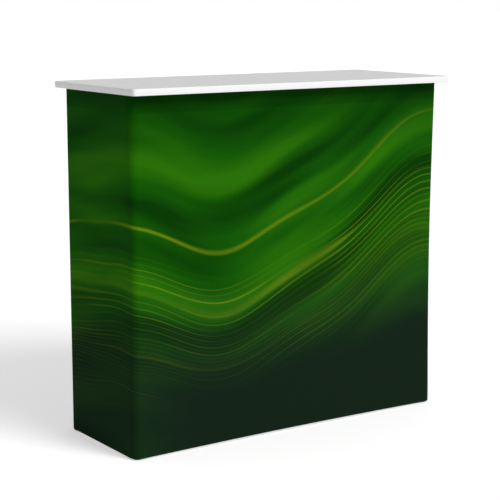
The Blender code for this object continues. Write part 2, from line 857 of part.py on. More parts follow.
counter = bpy.data.objects.new("counter", None)
parts.objects.link(counter)
make_worktop(counter)
for level_name in ("top", "bottom"):
    for corner_name in CORNERS:
        make_connector(level_name, corner_name, counter)
    make_rails(level_name, counter)
for corner_name in CORNERS:
    make_post(corner_name, counter)
    make_foot(corner_name, counter)
    make_bracket(corner_name, counter)
make_post_tape("rear_left", counter)
make_post_tape("rear_right", counter)
make_shelf(counter)
make_cover(counter)
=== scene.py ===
"""Exhibition counter: the looks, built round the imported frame.

Metres, +Z up. The printed front faces -Y and the open back faces +Y.
"""

import math

import bmesh
import bpy
from mathutils import Matrix, Vector, noise


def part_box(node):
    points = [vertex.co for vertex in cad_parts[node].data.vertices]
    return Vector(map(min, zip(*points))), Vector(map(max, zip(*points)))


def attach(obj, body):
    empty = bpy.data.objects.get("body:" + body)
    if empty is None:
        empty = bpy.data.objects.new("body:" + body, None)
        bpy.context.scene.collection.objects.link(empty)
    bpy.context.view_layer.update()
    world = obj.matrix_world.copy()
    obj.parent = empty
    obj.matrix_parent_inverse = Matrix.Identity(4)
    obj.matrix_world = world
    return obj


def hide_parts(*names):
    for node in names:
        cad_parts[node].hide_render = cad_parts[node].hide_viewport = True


bl_info = {
    "name": "Exhibition Counter",
    "version": (1, 0, 0),
    "blender": (4, 5, 0),
    "location": "View3D > Sidebar > Counter",
    "description": "Builds the looks of an exhibition counter round its packed frame",
    "category": "Object",
}

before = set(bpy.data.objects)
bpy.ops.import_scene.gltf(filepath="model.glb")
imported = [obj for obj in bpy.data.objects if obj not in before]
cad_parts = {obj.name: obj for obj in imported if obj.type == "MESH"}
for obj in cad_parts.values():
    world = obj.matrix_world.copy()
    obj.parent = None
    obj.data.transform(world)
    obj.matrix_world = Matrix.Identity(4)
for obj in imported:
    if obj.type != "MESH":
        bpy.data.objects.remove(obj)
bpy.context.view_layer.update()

CORNERS = ("front_left", "front_right", "rear_left", "rear_right")
LEVELS = ("top", "bottom")
SIDES = ("front", "rear", "left", "right")
MILLIMETRE = 0.001
GLUE_GAP = 0.00005  # keeps two glued faces apart
UP = Vector((0, 0, 1))
RIBBON_PLACE = (7.1, 6.4, 0.0)  # where in the noise the print's ribbons are taken

# Settings that several nodes share, and the inputs that make a step of a Map Range node.
MULTIPLY = {"operation": "MULTIPLY"}
MULTIPLY_ADD = {"operation": "MULTIPLY_ADD"}
SMOOTH = {"interpolation_type": "SMOOTHSTEP"}
RGBA = {"data_type": "RGBA"}
STEP = ("Value", "From Min", "From Max", "To Min", "To Max")


def linear(code):
    """Turns an sRGB hex colour into linear red, green and blue."""
    channels = [int(code[i : i + 2], 16) / 255 for i in (1, 3, 5)]
    return tuple(c / 12.92 if c <= 0.04045 else ((c + 0.055) / 1.055) ** 2.4 for c in channels)


def length(name, default, description):
    return bpy.props.FloatProperty(
        name=name, default=default, description=description,
        min=0.0, unit="LENGTH", subtype="DISTANCE", precision=5,
    )


def angle(name, degrees, description):
    return bpy.props.FloatProperty(
        name=name, default=math.radians(degrees), description=description, subtype="ANGLE"
    )


def amount(name, default, description, least=0.0):
    return bpy.props.FloatProperty(name=name, default=default, description=description, min=least)


def colour(name, default, description):
    return bpy.props.FloatVectorProperty(
        name=name, default=linear(default), description=description,
        size=3, min=0.0, max=1.0, subtype="COLOR",
    )


# Settings


class CounterBoardSettings(bpy.types.PropertyGroup):
    """Sizes of the worktop's and the shelf's edges."""

    band_thickness: length("Worktop Edge Band", 0.002, "Thickness of the worktop's edge band")
    band_rounding: length("Band Rounding", 0.001, "Radius along the edge band's corners")
    corner_radius: length("Worktop Corner", 0.010, "Radius of the worktop's corners in plan")
    shelf_band_thickness: length("Shelf Edge Band", 0.001, "Thickness of the shelf's edge band")
    shelf_band_rounding: length("Shelf Rounding", 0.0004, "Radius along the shelf band's corners")
    shelf_corner_radius: length("Shelf Corner", 0.006, "Radius of the shelf's corners in plan")


class CounterCoverSettings(bpy.types.PropertyGroup):
    """Sizes of the sewn cover."""

    thickness: length("Cloth", 0.00045, "Thickness of the knitted cloth")
    front_radius: length("Front Corner", 0.025, "Radius of the cover round a front corner")
    rear_radius: length("Rear Corner", 0.0158, "Radius of the cover round a rear post")
    wrap_end: angle("Wrap End", 52, "Where the cover ends round a rear post, from straight inward")
    draw_in: length("Draw-in", 0.0055, "How far tension pulls the front corners in")
    hem_width: length("Hem", 0.050, "Width of the folded hems")
    hem_seam: length("Hem Seam", 0.048, "From a folded edge to its seam")
    hem_depth: length("Hem Depth", 0.0012, "Thickness over both layers of a hem")
    hem_rise: length("Hem Rise", 0.004, "Rise of the lower hem at the middle of the front")
    stitch_length: length("Stitch", 0.0028, "Length of one visible stitch")
    stitch_pitch: length("Stitch Pitch", 0.0038, "From one stitch to the next")
    tape_width: length("Edge Tape", 0.018, "Width of the loop tapes down the rear edges")
    tape_thickness: length("Edge Tape Thickness", 0.0006, "Thickness of the loop tapes")


class CounterFrameSettings(bpy.types.PropertyGroup):
    """Sizes of the tubes, the screws and the feet."""

    post_radius: length("Post Radius", 0.0125, "Outer radius of a post")
    tube_wall: length("Tube Wall", 0.0015, "Wall of the posts and rails")
    rail_edge_radius: length("Rail Edge", 0.002, "Radius of the rails' long edges")
    button_hole_radius: length("Button Hole", 0.0038, "Radius of the hole for a catch's button")
    button_drop: length("Button Drop", 0.0045, "From a leaf spring's top to its button's middle")
    saddle_reach: length("Saddle Reach", 0.0185, "From a post's axis to its bracket's screw face")
    screw_spread: length("Screw Spread", 0.00625, "From a bracket's middle to each screw")
    screw_drop: length("Screw Drop", 0.019, "From a bracket's top down to its screws")
    pad_radius: length("Foot Pad", 0.013, "Radius of a foot's rubber pad")
    pad_height: length("Pad Height", 0.007, "Height of a foot's rubber pad")
    nut_width: length("Nut Width", 0.015, "Width of a foot's nut across its corners")
    nut_height: length("Nut Height", 0.0047, "Height of a foot's nut")
    thread_radius: length("Thread Radius", 0.004, "Outer radius of a foot's thread")
    thread_pitch: length("Thread Pitch", 0.00125, "Rise of a foot's thread in one turn")


class CounterColourSettings(bpy.types.PropertyGroup):
    """Colours of the finishes."""

    melamine: colour("Melamine", "#D0D0D0", "Face of the worktop and the shelf")
    edging: colour("Edging", "#F4F4F5", "Edge bands")
    print_deep: colour("Print Deep", "#073C02", "Shaded parts of the print")
    print_mid: colour("Print Middle", "#145904", "Main green of the print")
    print_light: colour("Print Light", "#2B7206", "Light ribbons of the print")
    print_line: colour("Print Line", "#86A216", "Fine lines of the print")
    print_foot: colour("Print Foot", "#142418", "Foot of the print")
    cloth_reverse: colour("Cloth Reverse", "#D8E0D3", "Unprinted side of the cloth")
    aluminium: colour("Aluminium", "#D3D4D6", "Posts and rails")
    nylon: colour("Nylon", "#1B1B1D", "Connectors and brackets")
    rubber: colour("Rubber", "#161616", "Foot pads")
    steel: colour("Steel", "#C6C6C8", "Catches, screws and feet")
    tape: colour("Tape", "#1A1A1C", "Hook and loop tapes")


class CounterStageSettings(bpy.types.PropertyGroup):
    """Light and camera."""

    sun_strength: amount("Key Light", 2.2, "Strength of the soft key light")
    sun_spread: angle("Key Softness", 30, "Apparent size of the key light")
    ambient: amount("Ambient", 0.36, "Strength of the light from all round")
    floor_glow: amount(
        "Floor Whiteness", 0.43, "What the floor adds for the camera, so that it shows white"
    )
    focal_length: amount("Focal Length", 105.347, "Lens of the camera in mm", 1.0)


# Materials


def add_node(tree, kind, settings, inputs, output=0):
    """Adds a node and returns an output. An input is linked to a socket, or set to a value."""
    node = tree.nodes.new("ShaderNode" + kind)
    for name, value in settings.items():
        if name == "stops":
            ramp = node.color_ramp
            while len(ramp.elements) < len(value):
                ramp.elements.new(0.5)
            for stop, (position, shade) in zip(ramp.elements, value):
                stop.position = position
                stop.color = (*shade, 1.0)
        else:
            setattr(node, name, value)
    for name, value in inputs.items():
        if isinstance(value, bpy.types.NodeSocket):
            tree.links.new(value, node.inputs[name])
        else:
            node.inputs[name].default_value = value
    return node.outputs[output] if node.outputs else None


def new_material(name, base, roughness, metallic=0.0, specular=0.5):
    material = bpy.data.materials.new(name)
    material.use_nodes = True
    sockets = material.node_tree.nodes["Principled BSDF"].inputs
    sockets["Base Color"].default_value = material.diffuse_color = (*base, 1.0)
    sockets["Roughness"].default_value = roughness
    sockets["Metallic"].default_value = metallic
    sockets["Specular IOR Level"].default_value = specular
    return material, material.node_tree, sockets


def grained(name, base, grain, roughness, tint, relief, depth, metallic=0.0, specular=0.5):
    """A finish with a fine mottle of colour and gloss, and a relief, from one noise.

    Grain is the size of the noise's features along each axis, in millimetres. Tint is how far
    the colour swings either way, and depth is the relief's, in metres.
    """
    material, tree, sockets = new_material(name, base, roughness, metallic, specular)
    place = add_node(tree, "TexCoord", {}, {}, "Object")
    scale = tuple(1.0 / (size * MILLIMETRE) for size in grain)
    stretched = add_node(tree, "Mapping", {}, {"Vector": place, "Scale": scale})
    inputs = {"Vector": stretched, "Scale": 1.0, "Detail": 3.0, "Roughness": 0.6}
    pattern = add_node(tree, "TexNoise", {}, inputs)
    dark = tuple(c * (1 - tint) for c in base)
    light = tuple(min(c * (1 + tint), 1.0) for c in base)
    shade = add_node(tree, "ValToRGB", {"stops": [(0.3, dark), (0.7, light)]}, {"Fac": pattern})
    swing = 0.06  # of the roughness, either way
    inputs = {"Value": pattern, "To Min": roughness - swing, "To Max": roughness + swing}
    gloss = add_node(tree, "MapRange", {}, inputs)
    bump = add_node(tree, "Bump", {}, {"Strength": relief, "Distance": depth, "Height": pattern})
    for value, name in ((shade, "Base Color"), (gloss, "Roughness"), (bump, "Normal")):
        tree.links.new(value, sockets[name])
    return material


def melamine(colours):
    """Melamine-faced chipboard, pressed: satin, with a fine pearl texture about 1.5 mm across."""
    return grained(
        "melamine faced board", colours.melamine, (1.5, 1.5, 1.5),
        roughness=0.42, tint=0.03, relief=0.6, depth=0.00025, specular=0.3,
    )


def edging(colours):
    """ABS edging, extruded: smoother and paler than the board's face, with faint long lines."""
    return grained(
        "ABS edging", colours.edging, (40, 40, 1.2),
        roughness=0.34, tint=0.015, relief=0.3, depth=0.0001, specular=0.3,
    )


def aluminium(colours, along):
    """Anodised aluminium, drawn: satin grey with fine lines 0.8 mm wide along each tube."""
    lines = tuple(120.0 if axis == along else 0.8 for axis in "xyz")
    return grained(
        "anodised aluminium " + along, colours.aluminium, lines,
        roughness=0.34, tint=0.05, relief=0.2, depth=0.00003, metallic=1.0,
    )


def nylon(colours):
    """Glass-filled nylon, moulded: near black, half matt, with a spark-eroded grain of 0.7 mm."""
    return grained(
        "moulded nylon", colours.nylon, (0.7, 0.7, 0.7),
        roughness=0.5, tint=0.18, relief=0.35, depth=0.0001,
    )


def rubber(colours):
    """Thermoplastic rubber, moulded: matt black with a little dust in its grain."""
    return grained(
        "moulded rubber", colours.rubber, (1.0, 1.0, 1.0),
        roughness=0.8, tint=0.25, relief=0.4, depth=0.00012, specular=0.3,
    )


def steel(colours):
    """Zinc-plated steel: bright, with a faint mottle from the bath."""
    return grained(
        "zinc plated steel", colours.steel, (2.0, 2.0, 2.0),
        roughness=0.27, tint=0.06, relief=0.1, depth=0.00002, metallic=1.0,
    )


def thread(colours):
    """Polyester sewing thread, twisted: dark green with a soft gloss."""
    base = tuple(c * 0.55 for c in colours.print_deep)
    return grained(
        "sewing thread", base, (0.4, 0.4, 0.4),
        roughness=0.7, tint=0.3, relief=0.3, depth=0.00005, specular=0.1,
    )


def hook_tape(colours):
    """Woven nylon hook tape: dull black, with rows of hooks 1.6 mm apart."""
    base = tuple(colours.tape)
    material, tree, sockets = new_material("woven hook tape", base, 0.85, specular=0.2)
    place = add_node(tree, "TexCoord", {}, {}, "Object")
    inputs = {"Vector": place, "Scale": 1.0 / (1.6 * MILLIMETRE), "Randomness": 0.25}
    hooks = add_node(tree, "TexVoronoi", {"feature": "F1"}, inputs, "Distance")
    stops = [(0.1, tuple(c * 2.6 for c in base)), (0.55, tuple(c * 0.6 for c in base))]
    shade = add_node(tree, "ValToRGB", {"stops": stops}, {"Fac": hooks})
    inputs = {"Strength": 0.8, "Distance": 0.0006, "Height": hooks}
    bump = add_node(tree, "Bump", {"invert": True}, inputs)
    for value, name in ((shade, "Base Color"), (bump, "Normal")):
        tree.links.new(value, sockets[name])
    return material


def print_level(tree, along, height):
    """Height above a slow wave, with swells 1.25 m and 0.47 m long and a rise to the right."""
    slope = 0.20
    level = add_node(tree, "Math", MULTIPLY_ADD, {0: along, 1: -slope, 2: height})
    for wave_length, shift, rise in ((1.25, 0.9, 0.095), (0.47, 2.4, 0.016)):
        inputs = {0: along, 1: math.tau / wave_length, 2: shift}
        turn = add_node(tree, "Math", MULTIPLY_ADD, inputs)
        swell = add_node(tree, "Math", {"operation": "SINE"}, {0: turn})
        level = add_node(tree, "Math", MULTIPLY_ADD, {0: swell, 1: -rise, 2: level})
    return level


def drift(tree, flow, scale, place, detail=1.0):
    """Soft noise along the waves. Its scale is in turns to the metre, along and across them."""
    stretched = add_node(tree, "Mapping", {}, {"Vector": flow, "Scale": scale, "Location": place})
    inputs = {"Vector": stretched, "Scale": 1.0, "Detail": detail, "Roughness": 0.45}
    return add_node(tree, "TexNoise", {"noise_dimensions": "2D"}, inputs)


def print_lines(tree, colours, flow, level, along, under):
    """Fine contour lines over the ribbons: uneven in spacing, strength and sharpness."""
    wander = 0.045  # how far the lines' spacing shifts across the waves, in metres
    uneven = drift(tree, flow, (2.2, 9.0, 1.0), (5.1, 0.4, 0.0))
    centred = add_node(tree, "Math", {"operation": "SUBTRACT"}, {0: uneven, 1: 0.5})
    drawn = add_node(tree, "Math", MULTIPLY_ADD, {0: centred, 1: wander, 2: level})
    hazy = drift(tree, flow, (1.7, 3.1, 1.0), (0.7, 8.2, 0.0))
    blur = add_node(tree, "MapRange", SMOOTH, {"Value": hazy, "From Min": 0.40, "From Max": 0.62})
    loss, gain = 0.55, 1.8  # of a line's strength and width, where it is blurred most
    soft_reach = 1.8  # how many half widths a line's soft side reaches out
    peak = add_node(tree, "Math", MULTIPLY_ADD, {0: blur, 1: -loss, 2: 1.0})
    # Spacing, half width, strength, and the levels between which they show, in metres.
    families = (
        (0.0210, 0.0016, 0.72, (0.00, 0.12, 0.34, 0.46)),
        (0.0105, 0.0011, 0.42, (-0.06, 0.06, 0.18, 0.30)),
        (0.1700, 0.0045, 0.62, (-0.02, 0.08, 0.60, 0.72)),
    )
    for number, (spacing, half_width, strength, zone) in enumerate(families):
        turns = add_node(tree, "Math", {"operation": "DIVIDE"}, {0: drawn, 1: spacing})
        part = add_node(tree, "Math", {"operation": "PINGPONG"}, {0: turns, 1: 0.5})
        width = half_width * soft_reach / spacing
        reach = add_node(tree, "Math", MULTIPLY_ADD, {0: blur, 1: gain * width, 2: width})
        # Each line has a strength of its own, from 0.35 to 1.
        nearest = add_node(tree, "Math", {"operation": "ROUND"}, {0: turns})
        chance = add_node(tree, "TexWhiteNoise", {"noise_dimensions": "1D"}, {"W": nearest})
        shown = add_node(tree, "MapRange", {}, {"Value": chance, "To Min": 0.35})
        patch = drift(tree, flow, (1.9, 14.0, 1.0), (3.7 * number, 1.9 * number, 0.0))
        # A value, where its step starts and ends, and the strength before and after it.
        steps = (
            (part, 0.0, reach, peak, 0.0),
            (patch, 0.38, 0.64, 0.12, strength),
            (level, zone[0], zone[1], 0.0, 1.0),
            (level, zone[2], zone[3], 1.0, 0.0),
            (along, 0.7, 1.6, 1.0, 0.5),
        )
        for step in steps:
            factor = add_node(tree, "MapRange", SMOOTH, dict(zip(STEP, step)))
            shown = add_node(tree, "Math", MULTIPLY, {0: shown, 1: factor})
        inputs = {"Factor": shown, "A": under, "B": (*colours.print_line, 1.0)}
        under = add_node(tree, "Mix", RGBA, inputs, "Result")
    return under


def print_colour(tree, colours, cover):
    """Colour of the print: soft ribbons and fine contour lines in slow waves, dark at the foot.

    It reads the cloth's own map, in metres along and up the cover, so it runs round the corners.
    """
    place = add_node(tree, "UVMap", {"uv_map": "cloth"}, {})
    along = add_node(tree, "SeparateXYZ", {}, {0: place})
    height = along.node.outputs["Y"]
    level = print_level(tree, along, height)
    flow = add_node(tree, "CombineXYZ", {}, {0: along, 1: level})

    # Soft ribbons, 50 to 150 mm wide, that fade along their length.
    stops = [(0.32, colours.print_deep), (0.50, colours.print_mid), (0.70, colours.print_light)]
    pattern = drift(tree, flow, (1.3, 8.5, 1.0), RIBBON_PLACE, detail=2.0)
    ribbons = add_node(tree, "ValToRGB", {"stops": stops}, {"Fac": pattern})
    result = print_lines(tree, colours, flow, level, along, ribbons)

    # Painted light: the foot's dark print is painted a little lighter on the left side, which the
    # key light leaves in shade, than in front.
    inputs = dict(zip(STEP, (along, 0.25, 0.60, 0.86, 1.0)))
    foot_share_painted_lighter_left = add_node(tree, "MapRange", SMOOTH, inputs)
    lowered = add_node(tree, "Math", MULTIPLY_ADD, {0: level, 1: 0.35, 2: height})
    low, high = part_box("textile_cover")
    seam = high.z - low.z - cover.hem_seam
    # Deeper along the top, and almost black green at the foot, less so where light is painted on
    # the left side. The top hem is doubled, so less light comes through it: it gets a painted
    # shade a little deeper, which wouldn't show at the dark foot.
    # The shade, a value, where its step starts and ends, and the shade's share before and after.
    steps = (
        (SMOOTH, colours.print_deep, height, 0.76, 0.96, 0.0, 0.58),
        # painted light: less of the foot's dark on the left side, which is in shade
        (SMOOTH, colours.print_foot, lowered, 0.17, 0.68, foot_share_painted_lighter_left, 0.0),
        # painted shade over the doubled top hem
        ({}, (0.0, 0.0, 0.0), height, seam - MILLIMETRE, seam + MILLIMETRE, 0.0, 0.14),
    )
    for settings, shade, *step in steps:
        share = add_node(tree, "MapRange", settings, dict(zip(STEP, step)))
        inputs = {"Factor": share, "A": result, "B": (*shade, 1.0)}
        result = add_node(tree, "Mix", RGBA, inputs, "Result")
    return result


def knit(tree, sockets, strength):
    """Relief of the knit. Its loops, really 0.6 mm apart, are drawn 1.5 mm apart to show."""
    place = add_node(tree, "UVMap", {"uv_map": "cloth"}, {})
    scale = math.pi / 10 / (1.5 * MILLIMETRE)  # at pi / 10 a wave is one unit long
    inputs = {"Vector": place, "Scale": scale, "Distortion": 0.6, "Detail": 1.0}
    waves = {}
    for number, direction in enumerate("XY"):
        settings = {"wave_type": "BANDS", "bands_direction": direction, "wave_profile": "SIN"}
        waves[number] = add_node(tree, "TexWave", settings, inputs, "Fac")
    loops = add_node(tree, "Math", MULTIPLY, waves)
    inputs = {"Strength": strength, "Distance": 0.0004, "Height": loops}
    tree.links.new(add_node(tree, "Bump", {}, inputs), sockets["Normal"])


def printed_knit(colours, cover):
    """Polyester knit, dye-printed: matt and deep in colour, with hardly any gloss."""
    base = colours.print_mid
    material, tree, sockets = new_material("printed polyester knit", base, 0.9, specular=0.02)
    tree.links.new(print_colour(tree, colours, cover), sockets["Base Color"])
    sockets["Sheen Weight"].default_value = 0.01
    sockets["Sheen Roughness"].default_value = 0.5
    knit(tree, sockets, strength=0.85)
    return material


def knit_reverse(colours, cover):
    """The knit's unprinted side: pale, with about a quarter of the print showing through."""
    base = colours.cloth_reverse
    material, tree, sockets = new_material("polyester knit reverse", base, 0.9, specular=0.1)
    front = print_colour(tree, colours, cover)
    inputs = {"Factor": 0.72, "A": front, "B": (*base, 1.0)}
    tree.links.new(add_node(tree, "Mix", RGBA, inputs, "Result"), sockets["Base Color"])
    knit(tree, sockets, strength=0.5)
    return material


# Meshes


def finish_mesh(bm, name, smooth_below=35.0):
    """Makes a bmesh a piece of the scene, smooth where its faces meet at less than that angle."""
    bmesh.ops.remove_doubles(bm, verts=bm.verts, dist=0.000002)
    bmesh.ops.recalc_face_normals(bm, faces=bm.faces)
    return link_mesh(bm, name, smooth_below)


def link_mesh(bm, name, smooth_below=35.0):
    mesh = bpy.data.meshes.new(name)
    bm.to_mesh(mesh)
    bm.free()
    mesh.shade_smooth()
    mesh.set_sharp_from_angle(angle=math.radians(smooth_below))
    thing = bpy.data.objects.new(name, mesh)
    bpy.context.scene.collection.objects.link(thing)
    return thing


def dress(thing, body, slot, material, *replaced):
    """Gives a finished piece its material and its body, and hides the nodes it stands for. Its
    slot is not used.
    """
    if not thing.data.materials:
        thing.data.materials.append(material)
    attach(thing, body)
    if replaced:
        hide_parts(*replaced)


def repaint(node, material):
    """Gives a CAD node that stays its finish."""
    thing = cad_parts[node]
    for place in thing.material_slots:
        place.material = material
    if not thing.material_slots:
        thing.data.materials.append(material)


def bevel(bm, edges, radius, segments):
    bmesh.ops.bevel(
        bm, geom=edges, offset=radius, segments=segments, profile=0.5, affect="EDGES", material=-1
    )


def facing(bm, along):
    """The faces that lie square to an axis."""
    return [face for face in bm.faces if abs(face.normal[along]) > 0.999]


def block(bm, low, high, along, edge_radius, segments):
    """A box from low to high, with its edges along one axis rounded."""
    size = high - low
    made = bmesh.ops.create_cube(bm, size=1)["verts"]
    bmesh.ops.scale(bm, vec=size, verts=made)
    bmesh.ops.translate(bm, vec=(high + low) / 2, verts=made)
    lengthwise = [
        edge
        for edge in bm.edges
        if abs((edge.verts[0].co - edge.verts[1].co)[along]) > size[along] / 2
    ]
    bevel(bm, lengthwise, edge_radius, segments)


def hollow(bm, ends, wall):
    """Takes out what lies between two end faces, and leaves a wall round it."""
    bmesh.ops.inset_region(bm, faces=ends, thickness=wall, use_even_offset=True)
    rims = {edge for face in ends for edge in face.edges}
    bmesh.ops.delete(bm, geom=ends, context="FACES_ONLY")
    bmesh.ops.bridge_loops(bm, edges=[edge for edge in rims if edge.is_valid])


def slab(bm, low, high, corner_radius, rounding):
    """A board from low to high, with round corners in plan and softened rims."""
    block(bm, low, high, 2, corner_radius, segments=12)
    if rounding:
        rims = {edge for face in facing(bm, 2) for edge in face.edges}
        bevel(bm, list(rims), rounding, segments=3)
    bm.normal_update()


def band_round(bm, low, high, corner_radius, rounding, thickness):
    """A slab with its middle taken out, which leaves the edge band."""
    slab(bm, low, high, corner_radius, rounding)
    least_area = (high.x - low.x) * thickness
    ends = [face for face in facing(bm, 2) if face.calc_area() > least_area]
    hollow(bm, ends, thickness - rounding)


def box_tube(bm, low, high, along, wall, edge_radius):
    """A rectangular tube from low to high, with rounded long edges and open ends."""
    block(bm, low, high, along, edge_radius, segments=5)
    hollow(bm, facing(bm, along), wall)


def spun(bm, profile, centre, axis=UP, steps=48):
    """Turns a profile of radius and height about an axis through its centre."""
    turn = UP.rotation_difference(axis).to_matrix()
    points = [bm.verts.new(centre + turn @ Vector((radius, 0, rise))) for radius, rise in profile]
    edges = [bm.edges.new(pair) for pair in zip(points, points[1:])]
    bmesh.ops.spin(
        bm, geom=points + edges, cent=centre, axis=turn @ UP,
        angle=math.tau, steps=steps, use_merge=True,
    )


def tube_profile(outer, inner, low, high):
    """A tube's section with its outer rims deburred, closed on itself."""
    burr = 0.0004
    lower = [(inner, low), (outer - burr, low), (outer, low + burr)]
    return lower + [(outer, high - burr), (outer - burr, high), (inner, high), (inner, low)]


def smooth_copy(node, name, edge_radius, smooth_below=30.0):
    """A merged copy of a CAD node, shaded smooth over its small facets, with softened edges."""
    bm = bmesh.new()
    bm.from_mesh(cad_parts[node].data)
    bmesh.ops.remove_doubles(bm, verts=bm.verts, dist=0.000005)
    bmesh.ops.dissolve_limit(bm, angle_limit=math.radians(0.5), verts=bm.verts, edges=bm.edges)
    thing = link_mesh(bm, name, smooth_below)
    thing.data.materials.clear()
    soften = thing.modifiers.new("edges", "BEVEL")
    soften.width = edge_radius
    soften.segments = 2
    soften.limit_method = "ANGLE"
    soften.angle_limit = math.radians(smooth_below)
    soften.harden_normals = True
    return thing


def post_axis(corner):
    """Plan position of a post, from its foot."""
    low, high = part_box("levelling_foot_" + corner)
    return Vector(((low.x + high.x) / 2, (low.y + high.y) / 2, 0))


# Cover


class CoverPlan:
    """The cover's outer face, by distance from its rear left edge and by height."""

    def __init__(self, cover):
        low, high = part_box("textile_cover")
        self.cover = cover
        self.low, self.high = low.z, high.z
        self.held_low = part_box("bottom_rail_front")[1].z
        self.held_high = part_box("top_rail_front")[0].z
        self.stations = []
        self.build(high.x, high.y)
        self.length = self.stations[-1][0]

    def add(self, place, outward, draw_share, rise_share):
        distance = 0.0
        if self.stations:
            distance = self.stations[-1][0] + (place - self.stations[-1][1]).length
        self.stations.append((distance, place, outward, draw_share, rise_share))

    def turn(self, centre, radius, start, end, steps, draw_share):
        """Stations round a corner, with angles from +X."""
        for step in range(steps + 1):
            bearing = start + (end - start) * step / steps
            outward = Vector((math.cos(bearing), math.sin(bearing)))
            self.add(Vector(centre) + radius * outward, outward, draw_share, 0.0)

    def run(self, start, end, outward, steps, draw_share, rise):
        """Stations along a straight panel, between the corners."""
        for step in range(1, steps):
            t = step / steps
            place = Vector(start).lerp(Vector(end), t)
            self.add(place, Vector(outward), draw_share(t), rise * math.sin(math.pi * t))

    def build(self, half_width, half_depth):
        cover = self.cover
        spared_share = 0.45  # of the draw-in, at the middle of the front panel
        post_steps, side_steps, corner_steps, front_steps = 18, 28, 16, 80
        left, front, right = math.pi, 1.5 * math.pi, math.tau  # ways that a panel faces
        corner, post = cover.front_radius, cover.rear_radius
        x, y = half_width, half_depth
        front_x, front_y = x - corner, corner - y
        rear_x, rear_y = x - post, y - post
        start = cover.wrap_end

        def across(t):
            return 1 - spared_share * math.sin(math.pi * t)

        self.turn((-rear_x, rear_y), post, start, left, post_steps, 0)
        self.run((-x, rear_y), (-x, front_y), (-1, 0), side_steps, lambda t: t, 0)
        self.turn((-front_x, front_y), corner, left, front, corner_steps, 1)
        self.run((-front_x, -y), (front_x, -y), (0, -1), front_steps, across, 1)
        self.turn((front_x, front_y), corner, front, right, corner_steps, 1)
        self.run((x, front_y), (x, rear_y), (1, 0), side_steps, lambda t: 1 - t, 0)
        self.turn((rear_x, rear_y), post, 0, math.pi - start, post_steps, 0)

    def station(self, distance):
        """The plan's values at a distance, between its two nearest stations."""
        before = self.stations[0]
        for after in self.stations[1:]:
            if after[0] >= distance:
                break
            before = after
        span = after[0] - before[0] or 1.0
        t = (distance - before[0]) / span
        return tuple(
            a.lerp(b, t) if isinstance(a, Vector) else a + (b - a) * t
            for a, b in zip(before, after)
        )

    def point(self, station, height, inward):
        """A point at a height on the cover, that far inside its outer face."""
        distance, place, outward, draw_share, rise_share = station
        slack = 0.0004  # depth of the ripples that tension leaves, none at the frame
        rising = 0.2  # height of the part above the lower hem that rises with it
        t = (height - self.held_low) / (self.held_high - self.held_low)
        bulge = math.sin(math.pi * min(max(t, 0.0), 1.0))
        draw = self.cover.draw_in * draw_share * bulge
        ripple = noise.noise(Vector((distance * 5.0, height * 3.2, 4.7)))
        draw += slack * ripple * bulge * (1 - abs(2 * draw_share - 1) * 0.5)
        fall = max(0.0, 1.0 - (height - self.low) / rising)
        lifted = height + self.cover.hem_rise * rise_share * fall * fall
        flat = place - (draw + inward) * outward
        return Vector((flat.x, flat.y, lifted))

    def sheet(self, name, stations, rows, thickness):
        """A cloth strip over those stations, with rows of height, inward offset and map height."""
        columns = len(stations) - 1
        levels = len(rows) - 1
        bm = bmesh.new()
        bmesh.ops.create_grid(bm, x_segments=columns, y_segments=levels, size=0.5)
        cloth = bm.loops.layers.uv.new("cloth")
        for vertex in bm.verts:
            station = stations[round((vertex.co.x + 0.5) * columns)]
            height, inward, map_height = rows[round((vertex.co.y + 0.5) * levels)]
            vertex.co = self.point(station, height, inward)
            for loop in vertex.link_loops:
                loop[cloth].uv = (station[0], map_height)
        thing = link_mesh(bm, name, smooth_below=60.0)
        layer = thing.modifiers.new("cloth", "SOLIDIFY")
        layer.thickness = thickness
        layer.offset = -1
        layer.use_even_offset = True
        layer.material_offset = 1
        return thing


def hem_rows(plan, cover):
    """Rows of the sheet, as height, inward offset and map height, and the cut cloth's length.

    They run down inside the lower hem, round its fold, up the face, and down inside the top hem.
    """
    fold = cover.hem_depth / 2
    fold_steps, face_steps = 6, 56
    stitch_dip = 0.0002
    low, high = plan.low, plan.high
    turned_in = (0.25, 0.6, 1.0)  # rows on the inner layer, as shares of a hem's width
    seam = cover.hem_seam
    by_fold = (0.008, 0.014, seam - 0.003, seam, seam + 0.003)  # rows near a folded edge

    rows = [(low + cover.hem_width * part, 2 * fold) for part in reversed(turned_in)]
    bends = [math.pi * step / fold_steps for step in range(fold_steps + 1)]
    for bend in bends:
        rows.append((low + fold - fold * math.sin(bend), fold * (1 + math.cos(bend))))
    heights = [low + part for part in by_fold] + [high - part for part in by_fold]
    for step in range(face_steps + 1):
        heights.append(plan.held_low + (plan.held_high - plan.held_low) * step / face_steps)
    for height in sorted(heights):
        at_seam = min(abs(height - low - seam), abs(height - high + seam)) < 1e-6
        rows.append((height, stitch_dip if at_seam else 0.0))
    for bend in bends:
        rows.append((high - fold + fold * math.sin(bend), fold * (1 - math.cos(bend))))
    rows += [(high - cover.hem_width * part, 2 * fold) for part in turned_in]

    # The map's height is the length of cloth from the lower fold, so that the print never tears.
    mapped = []
    travelled = 0.0
    for number, (height, inward) in enumerate(rows):
        if number:
            travelled += math.dist(rows[number - 1], (height, inward))
        mapped.append((height, inward, travelled - cover.hem_width))
    return mapped, travelled


